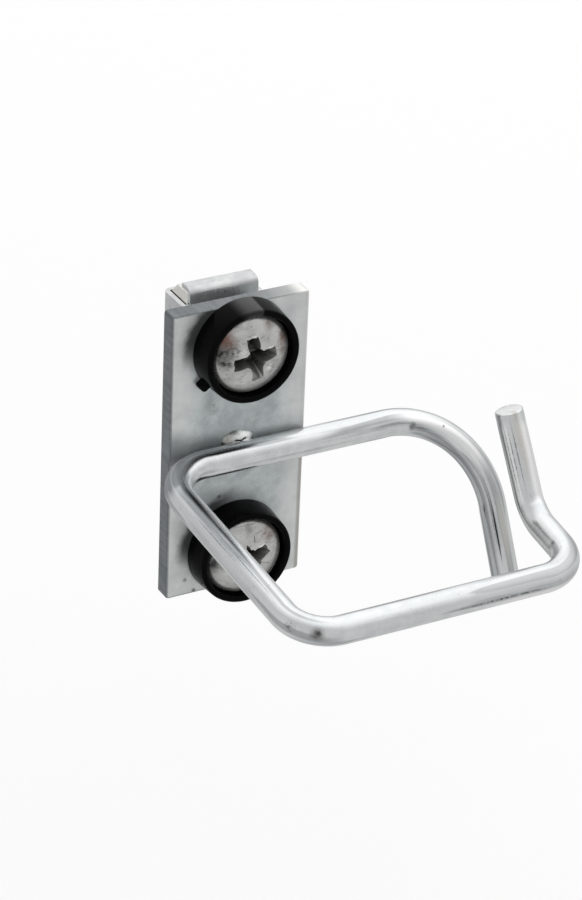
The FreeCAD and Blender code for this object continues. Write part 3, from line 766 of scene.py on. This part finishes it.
def uneven_radius(along, angle, facing):
    """The wire's radius at places along it and angles q round it.

    It is R (1 - 0.03 f^2), with f the cosine to the inside of a bend, less two slow waves of a
    hundredth of a millimetre together, and less a step of 0.09 mm beyond the last bend, where the
    bending tool gripped.
    """
    travel = along[:, None] / MM
    waves = np.sin(travel / 7.3 + 2 * angle) + np.sin(travel / 3.1 - 3 * angle + 1.7)
    gripped = ramp(155.7, 156.5, travel) * (1 - ramp(158, 164, travel))
    gripped = gripped * np.clip(np.cos(angle - math.radians(165)), 0, 1)
    return (WIRE_RADIUS * (1 - 0.03 * np.clip(facing, 0, 1) ** 2)
            - 0.006 * MM * (1 + 0.5 * waves) - 0.09 * MM * gripped)


def eased_end(middle, rays, inward, moved=0.0):
    """Rings that round off the edge of an end face along a quarter circle of radius e.

    At an angle t of it the radius is R - e + e sin t, and the ring lies e - e cos t behind the
    face, less the distance by which its points are moved out.
    """
    rings = []
    for share in END_SHARES:
        turn = share * math.pi / 2
        radius = WIRE_RADIUS - END_EASE + END_EASE * math.sin(turn)
        rings.append(middle + rays * radius + inward * (END_EASE * (1 - math.cos(turn)) - moved))
    return rings


def band_strength(along, angle, bands):
    """The strongest of several bands for each point of the wire's skin; the bands give painted
    shade and dark reflections, painted highlights, less metal, and satin.

    A band has its strength along its line and falls off beside it and beyond its ends. The rings
    and the poles of the two end faces have none.
    """
    travel = along / MM
    values = []
    for strength, places, angles, half, low, high, fade in bands:
        line = np.interp(travel, np.atleast_1d(places), np.atleast_1d(angles))
        apart = np.abs((np.degrees(angle) - line[:, None] + 180) % 360 - 180)
        within = ramp(low - fade, low + fade, travel) * (1 - ramp(high - fade, high + fade, travel))
        values.append(strength * (1 - ramp(0.3, 1, apart / half)) * within[:, None])
    bare = np.zeros(len(END_SHARES) * len(angle))
    return np.concatenate([bare, np.maximum.reduce(values).ravel(), bare, (0, 0)])


def make_wire():
    """Round wire carried along its bent centre line, with named marks for each of its points.

    A point is the centre line's plus the uneven radius times the ray at the angle q round it. The
    upper end is sheared: near it a point is moved along the wire by -0.6 mm cos(q - 136 degrees).
    """
    centre, tangent, side, inside, along = bent_line(ring_corners(), BEND_RADII, WIRE_STEP)
    weights = np.hanning(9) / np.hanning(9).sum()
    inside = np.stack([np.convolve(axis, weights, "same") for axis in inside.T], -1)
    across = np.cross(tangent, side)
    angle = np.linspace(0, TAU, WIRE_SIDES, endpoint=False)
    cosine, sine = np.cos(angle), np.sin(angle)
    ray = side[:, None] * cosine[:, None] + across[:, None] * sine[:, None]
    facing = np.einsum("ijk,ik->ij", ray, inside)
    rings = centre[:, None] + ray * uneven_radius(along, angle, facing)[..., None]
    shear = END_SHEAR * np.cos(angle - SHEAR_TOWARDS)[:, None]
    near_end = ramp(along[-1] - 3.5 * MM, along[-1] - 0.3 * MM, along)[:, None, None]
    rings = rings + tangent[:, None] * shear * near_end

    starts = eased_end(centre[0], ray[0], tangent[0])
    ends = eased_end(centre[-1], ray[-1], -tangent[-1], shear)
    keep = (along > END_EASE) & (along < along[-1] - END_EASE)
    rings = np.concatenate([starts, rings[keep], ends[::-1]])
    stations = np.pad(along[keep], len(END_SHARES), constant_values=(0, along[-1]))
    polar = np.broadcast_arrays(WIRE_RADIUS * cosine, WIRE_RADIUS * sine, stations[:, None])
    polar = np.vstack([np.stack(polar, -1).reshape(-1, 3), (0, 0, 0), (0, 0, along[-1])])
    # The upper end face gets a painted reflection: painted white and made less metallic.
    end_face = np.zeros(len(polar))
    end_face[-2 - WIRE_SIDES:-2] = end_face[-1] = 1
    # Band by band: painted shade and reflection, painted highlights, less metal, and satin.
    painted_shade_and_reflection, painted_highlight, painted_matte, satin = (
        band_strength(along[keep], angle, bands)
        for bands in (PAINTED_SHADE_BANDS, PAINTED_HIGHLIGHT_BANDS, PAINTED_MATTE_BANDS, SATIN_BANDS))
    return skin(rings), {"round_and_along": polar, "painted_shade_and_reflection": painted_shade_and_reflection,
                         "painted_highlight": np.maximum(end_face, painted_highlight),
                         "painted_matte": np.maximum(END_FACE_MATTE * end_face, painted_matte), "satin": satin}


# ---- screws

CUP_FLOOR = 0.8
HEAD_RADIUS = 5.9
HEAD_HEIGHT = 3.9
SHOULDER = 1.2
EDGE_HEIGHT = 2.3
CROWN_RISE = HEAD_HEIGHT - EDGE_HEIGHT
CROWN_RADIUS = (HEAD_RADIUS ** 2 + CROWN_RISE ** 2) / (2 * CROWN_RISE)
CROWN_CENTRE = HEAD_HEIGHT - CROWN_RADIUS
SHOULDER_MIDDLE = CROWN_CENTRE + math.sqrt((CROWN_RADIUS - SHOULDER) ** 2
                                           - (HEAD_RADIUS - SHOULDER) ** 2)
CROWN_EDGE = (HEAD_RADIUS - SHOULDER) * CROWN_RADIUS / (CROWN_RADIUS - SHOULDER)
CROWN_TILT = math.asin((HEAD_RADIUS - SHOULDER) / (CROWN_RADIUS - SHOULDER))
UNDER_HEAD = ((HEAD_RADIUS, 0.6), (HEAD_RADIUS, 0.12), (HEAD_RADIUS - 0.12, 0.0), (3.3, 0.0),
              (2.95, -0.3))
RECESS_MOUTH = {"span": 6.9, "slot": 1.75, "flare": 0.4}
RECESS_FLOOR = {"span": 3.2, "slot": 1.3, "flare": 0.1}
RECESS_DEPTH = 3.2
POINTS_PER_SIDE = 16
TEAR_WIDTH = 24
SCREW_LENGTH = 16.0
THREAD_START, THREAD_STEP = -3.6, 0.1
THREAD_PITCH, THREAD_CREST, THREAD_ROOT = 1.0, 2.98, 2.42
IN_THREAD = 0.35
SCREW_TURNS = {"upper": 9.5, "lower": 22.0}
SCREW_TEARS = {"upper": [], "lower": [(92, -0.48), (50, 0.12), (-45, 0.36)]}


def crown(radius):
    """Height of the head's domed top over its seat: a sphere's cap."""
    return CROWN_CENTRE + np.sqrt(CROWN_RADIUS ** 2 - radius ** 2)


def cross_outline(span, slot, flare):
    """Points round a four-armed recess with cut-back inner corners, the same number to a side."""
    reach, wall = span / 2, slot / 2
    arm = np.array([(reach, -wall), (reach, wall), (wall + flare, wall), (wall, wall + flare)])
    turned = [arm @ np.array([[math.cos(a), math.sin(a)], [-math.sin(a), math.cos(a)]])
              for a in np.arange(4) * TAU / 4]
    corners = np.vstack(turned)
    share = np.arange(POINTS_PER_SIDE)[None, :, None] / POINTS_PER_SIDE
    sides = corners[:, None] * (1 - share) + np.roll(corners, -1, 0)[:, None] * share
    return sides.reshape(-1, 2)


def torn_mouth(turn, tears):
    """Outline of the recess's mouth, roughened by two sine waves and torn in use.

    Each tear is a heading in degrees and the share by which the mouth is pushed out there, less
    with a bell curve beside it.
    """
    mouth = cross_outline(**RECESS_MOUTH)
    spin = np.arctan2(mouth[:, 1], mouth[:, 0])[:, None]
    mouth = mouth * (1 + 0.035 * np.sin(9 * spin + turn) + 0.04 * np.sin(17 * spin + 2 * turn))
    for heading, share in tears:
        mouth = mouth * (1 + share * np.exp(-((np.degrees(spin) - heading) / TEAR_WIDTH) ** 2))
    return mouth


def engraved_ticks(radius, heading, turn):
    """0 to 1: four short radial ticks between the arms, each a bell curve across, some fainter."""
    beside = np.arccos(np.clip(np.abs(np.sin(2 * heading)), 0, 1)) / 2
    ticks = np.exp(-(radius * np.sin(beside) / 0.08) ** 2)
    ticks = ticks * ramp(2.0, 2.3, radius) * (1 - ramp(3.5, 4.3, radius))
    return ticks * (0.6 + 0.4 * np.sin(2.7 * heading + turn))


def thread_radius(height, heading):
    """Radius of the thread: a flat-topped slope of (height / pitch - angle / full turn)."""
    phase = (height / THREAD_PITCH - heading / TAU) % 1
    flank = np.clip(1.25 - np.abs(phase - 0.5) * 3.2, 0, 1)
    tapered = np.clip((height + SCREW_LENGTH) / 0.8, 0, 1)
    return np.minimum(THREAD_ROOT + (THREAD_CREST - THREAD_ROOT) * flank,
                      THREAD_CREST - 0.8 * (1 - tapered))


def make_screw(turn, level, tears):
    """Pan-head screw in millimetres about its own axis, then set in place.

    Each ring follows the recess outline out to circles: floor, ruled walls up to the crown, the
    crown with a burr and ticks, shoulder, side, seat and thread. With a ring goes its share of
    darkening, painted shade and dirt together, in the recess, along the ticks and in the thread.
    """
    mouth, floor = torn_mouth(turn, tears), cross_outline(**RECESS_FLOOR)
    floor_height = HEAD_HEIGHT - RECESS_DEPTH
    sunk = np.full(len(mouth), 0.1)
    for _ in range(6):
        rim = mouth + (floor - mouth) * sunk[:, None]
        sunk = (HEAD_HEIGHT - crown(np.linalg.norm(rim, axis=1))) / RECESS_DEPTH
    rise = RECESS_DEPTH * (1 - sunk)
    rim_radius = np.linalg.norm(rim, axis=1)
    heading = np.arctan2(rim[:, 1], rim[:, 0])
    direction = np.column_stack([np.cos(heading), np.sin(heading)])

    rings = [(floor * share, floor_height - 0.25 * (1 - share), 1.0)
             for share in (0.15, 0.5, 0.8, 1.0)]
    rings += [(floor + (rim - floor) * share, floor_height + rise * share, 1.0 - 0.75 * share)
              for share in (0.04, 0.3, 0.6, 0.85, 0.97)]
    for share in (0.015, 0.04, *np.linspace(0.08, 1, 26)):
        radius = rim_radius + (CROWN_EDGE - rim_radius) * share
        uneven = 1 + np.sin(11 * heading + 1) * np.sin(5 * heading + turn)
        burr = 0.1 * math.exp(-(share / 0.08) ** 2) * uneven
        ticks = engraved_ticks(radius, heading, turn)
        rings.append((direction * radius[:, None], crown(radius) + burr - 0.06 * ticks,
                      0.5 * ticks))
    for tilt in np.linspace(CROWN_TILT, math.pi / 2, 12)[1:]:
        radius = HEAD_RADIUS - SHOULDER + SHOULDER * math.sin(tilt)
        rings.append((direction * radius, SHOULDER_MIDDLE + SHOULDER * math.cos(tilt), 0.0))
    rings += [(direction * radius, height, 0.0) for radius, height in UNDER_HEAD]
    rings += [(direction * thread_radius(height, heading)[:, None], height, IN_THREAD)
              for height in np.arange(THREAD_START, -SCREW_LENGTH - 0.01, -THREAD_STEP)]
    local = [np.column_stack([flat, np.broadcast_to(height, len(flat))])
             for flat, height, _ in rings]
    # Each ring's share of painted shade and dirt.
    dirt = [np.broadcast_to(share, len(mouth)) for _, _, share in rings]
    surface = skin(set_on_axis(np.array(local), turn, level, PLATE_FRONT / MM - CUP_FLOOR))
    return surface, {"sunk": np.append(np.concatenate(dirt), (1.0, IN_THREAD))}


# ---- cup washers

CUP_SECTION = [(0, 3.25), (0, 7.3), (4.1, 7.0), (4.1, 6.1), (CUP_FLOOR, 6.1), (CUP_FLOOR, 3.25)]
CUP_ROUNDINGS = (0.1, 0.15, 0.42, 0.3, 0.2, 0.1)
GATE_STEPS = ((0.0, 0.9), (0.05, 1.0), (0.9, 0.95), (1.12, 0.8), (1.2, 0.5))
GATE_FROM_AXIS, GATE_HALF, GATE_POWER = 7.45, 0.8, 0.5
GATE_TURNS = {"upper": 219.0, "lower": 300.0}


def turned_profile(outline, columns=128):
    """A closed outline of (height, radius) turned about the axis, as rings of points."""
    angle = np.linspace(0, TAU, columns, endpoint=False)
    height, radius = np.array(outline, float).T
    rings = [radius[:, None] * np.cos(angle), radius[:, None] * np.sin(angle),
             np.broadcast_to(height[:, None], (len(height), columns))]
    return np.stack(rings, -1)


def rounded(outline, sizes, steps=6):
    """A closed outline whose corners become quadratic curves, each as long as its size."""
    corners = np.array(outline, float)
    before, after = np.roll(corners, 1, 0), np.roll(corners, -1, 0)
    points = []
    for corner, previous, following, size in zip(corners, before, after, sizes):
        start = corner + unit(previous - corner) * size
        end = corner + unit(following - corner) * size
        share = np.linspace(0, 1, steps)[:, None]
        points.append(start * (1 - share) ** 2 + 2 * corner * share * (1 - share)
                      + end * share ** 2)
    return np.vstack(points)


def gate_stub():
    """Stub of the moulding gate on the rim, as rings of points: a square with rounded corners.

    A ring is (cos^p, sin^p) of the angle, signs kept, times its size; the top ones are smaller.
    """
    angle = np.linspace(0, TAU, 40, endpoint=False)
    across, beside = (np.sign(wave) * np.abs(wave) ** GATE_POWER
                      for wave in (np.cos(angle), np.sin(angle)))
    return np.array([np.column_stack([GATE_FROM_AXIS + GATE_HALF * size * across,
                                      GATE_HALF * size * beside, np.full(len(angle), height)])
                     for height, size in GATE_STEPS])


def make_cup(gate_turn, level):
    """Moulded cup: its section turned about the screw's axis, and the stub of its gate."""
    cup, stub = (set_on_axis(rings, gate_turn, level, PLATE_FRONT / MM)
                 for rings in (turned_profile(rounded(CUP_SECTION, CUP_ROUNDINGS)), gate_stub()))
    return join_surfaces(skin(cup, loop=True), skin(stub))


# ---- weld

WELD_SHIFT = (-0.35, -0.5)
WELD_SEEDS = {"above": 0.6, "below": 2.9}


def make_weld(node, seed):
    """Metal squeezed out beside the wire: a dome on the plate, in millimetres.

    At share s of the way out and angle t, x = X + A s cos t (1 + lobes), z = Z + B s sin t
    (1 + lobes) and the height is H (1 - s^2)^0.8, plus slow waves and less a slit, which both
    die away towards the foot. The last ring goes into the plate.
    """
    low, high = (np.array(corner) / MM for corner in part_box(node))
    middle, half = (low + high) / 2, (high - low) / 2
    wide, tall, deep = 1.27 * half[0], 1.25 * half[2] + 0.3, 2.1 * half[1]
    angle = np.linspace(0, TAU, 72, endpoint=False)
    share = np.append(np.linspace(0.04, 1, 26), 1.0)[:, None]
    lobes = 1 + 0.05 * np.sin(3 * angle + seed) + 0.03 * np.sin(5 * angle - seed)
    x = middle[0] + WELD_SHIFT[0] + wide * share * np.cos(angle) * lobes
    z = middle[2] + WELD_SHIFT[1] * np.sign(middle[2]) + tall * share * np.sin(angle) * lobes
    waves = (0.025 * np.sin(1.6 * x + seed) * np.sin(2.2 * z + 1)
             + 0.01 * np.sin(4.3 * x - 2 * seed) * np.sin(3.1 * z))
    across = x - middle[0]
    from_slit = z - middle[2] - slit_level(across)
    slit = 0.3 * np.exp(-(from_slit / 0.07) ** 2)
    slit = slit * ramp(-1.3, -0.9, across) * (1 - ramp(0.6, 1.0, across))
    height = deep * (1 - share ** 2) ** 0.8 + (waves - slit) * (1 - share ** 4)
    height[-1] = -0.2
    return skin(np.stack([x, PLATE_FRONT / MM - height, z], -1) * MM)


# ---- build

plate_finish = finish_plate()
wire_finish = finish_wire()
screw_finish = finish_screw()
nylon_finish = finish_nylon()
spring_finish = finish_cage_nut("spring_steel", (0.70, 0.71, 0.71), (0.56, 0.57, 0.58))
nut_finish = finish_cage_nut("zinc_nut", (0.82, 0.81, 0.77), (0.68, 0.67, 0.63))
weld_finish = finish_weld()

wire, wire_marks = make_wire()
add_piece("bent_wire", wire, wire_finish, ["wire_ring"], marks=wire_marks)
for side, level in SIDES.items():
    screw, screw_marks = make_screw(SCREW_TURNS[side], level, SCREW_TEARS[side])
    add_piece("rack_screw_" + side, screw, screw_finish, ["screw_" + side],
              crease=32, marks=screw_marks)
    add_piece("cup_" + side, make_cup(GATE_TURNS[side], level), nylon_finish,
              ["cup_washer_" + side])
for side, seed in WELD_SEEDS.items():
    node = "weld_" + side
    add_piece("nugget_" + side, make_weld(node, seed), weld_finish, [node])

KEPT = {"mounting_plate": plate_finish, "cage_upper": spring_finish, "cage_lower": spring_finish,
        "nut_upper": nut_finish, "nut_lower": nut_finish}
for node, finish in KEPT.items():
    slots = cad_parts[node].data.materials
    slots.clear()
    slots.append(finish)


# ---- floor, light and camera

FLOOR_LEVEL = -70 * MM
HALF_FLOOR = 3.0
FLOOR_COLOUR, FLOOR_GLOW, GLOW_IN_METAL = (0.62, 0.62, 0.62, 1), 0.425, 0.12
BRIGHT_SIDE = (0.56, 0.39, 0.73)
DIM_GLOW, BRIGHT_GLOW, DIFFUSE_GLOW = 0.6, 1.22, 0.8
LAMPS_AIM_AT = (0, -0.01, 0)


def through_metal(path):
    """1 where the surroundings are seen in metal or through glass."""
    return larger(path.outputs["Is Glossy Ray"], path.outputs["Is Transmission Ray"])


def make_floor_finish():
    """Matt pale floor that keeps shadows, with its own light for the camera and less in metal."""
    material, shader, _ = new_finish("pale_floor", Base_Color=FLOOR_COLOUR, Roughness=0.9)
    tree = material.node_tree
    glow = add_node(tree, "Emission", Color=(1, 1, 1, 1), Strength=FLOOR_GLOW)
    nothing = add_node(tree, "Emission", Color=(0, 0, 0, 1), Strength=0.0)
    path = add_node(tree, "LightPath")
    seen = scaled(through_metal(path), GLOW_IN_METAL, path.outputs["Is Camera Ray"])
    choice = add_node(tree, "MixShader")
    for index, value in enumerate((seen, nothing.outputs[0], glow.outputs[0])):
        connect(value, choice.inputs[index])
    both = add_node(tree, "AddShader")
    connect(shader.outputs[0], both.inputs[0])
    connect(choice.outputs[0], both.inputs[1])
    connect(both.outputs[0], tree.nodes["Material Output"].inputs["Surface"])
    return material


def light_world():
    """Pale surroundings: white to the camera, and in metal brighter towards the upper right."""
    world = bpy.data.worlds.new("studio")
    bpy.context.scene.world = world
    world.use_nodes = True
    tree = world.node_tree
    background = tree.nodes["Background"]
    background.inputs["Color"].default_value = (1, 1, 1, 1)
    path = add_node(tree, "LightPath")
    direction = add_node(tree, "TexCoord").outputs["Generated"]
    towards = add_node(tree, "VectorMath", operation="DOT_PRODUCT")
    connect(direction, towards.inputs[0])
    connect(BRIGHT_SIDE, towards.inputs[1])
    height = split(direction)[2]
    bright = times(between(towards.outputs["Value"], 0.1, 0.95), between(height, 0.0, 0.6))
    mirrored = scaled(bright, BRIGHT_GLOW - DIM_GLOW, DIM_GLOW)
    beyond = minus(mirrored, DIFFUSE_GLOW)
    level = scaled(through_metal(path), beyond, DIFFUSE_GLOW)
    strength = larger(path.outputs["Is Camera Ray"], level)
    connect(strength, background.inputs["Strength"])


def add_lamp(name, place, size, power):
    """A square soft lamp aimed at the hook."""
    data = bpy.data.lights.new(name, "AREA")
    data.shape = "SQUARE"
    data.size = size
    data.energy = power
    lamp = add_object(name, data)
    lamp.location = place
    lamp.rotation_mode = "QUATERNION"
    lamp.rotation_quaternion = (Vector(LAMPS_AIM_AT) - Vector(place)).to_track_quat("-Z", "Y")
    lamp.visible_glossy = False


def aim_camera(azimuth, elevation, roll, target, distance, lens):
    """A camera that looks at a target from a direction, turned by roll about its line of sight."""
    a, e, r = (math.radians(angle) for angle in (azimuth, elevation, roll))
    back = np.array((math.sin(a) * math.cos(e), -math.cos(a) * math.cos(e), math.sin(e)))
    level = unit(np.cross((0, 0, 1), back))
    right = math.cos(r) * level + math.sin(r) * np.cross(back, level)
    up = np.cross(back, right)
    place = np.array(target) + distance * back
    matrix = np.eye(4)
    matrix[:3] = np.column_stack([right, up, back, place])
    data = bpy.data.cameras.new("camera")
    data.lens = lens
    data.clip_start, data.clip_end = 0.01, 20
    camera = add_object("camera", data)
    camera.matrix_world = Matrix(matrix.tolist())
    bpy.context.scene.camera = camera


bpy.context.scene.view_settings.view_transform = "Standard"
corners = [(x * HALF_FLOOR, y * HALF_FLOOR, FLOOR_LEVEL)
           for x, y in ((-1, -1), (1, -1), (1, 1), (-1, 1))]
floor = add_object("floor", new_mesh("floor", corners, [range(4)], make_floor_finish()))
light_world()
add_lamp("key", place=(0.4, -0.6, 0.65), size=1.5, power=1.2)
add_lamp("back", place=(0.36, 0.62, 0.42), size=0.9, power=0.6)
aim_camera(azimuth=-29.25, elevation=29.14, roll=2.43, distance=0.5104, lens=150,
           target=(2.81 * MM, -12.76 * MM, 4.03 * MM))
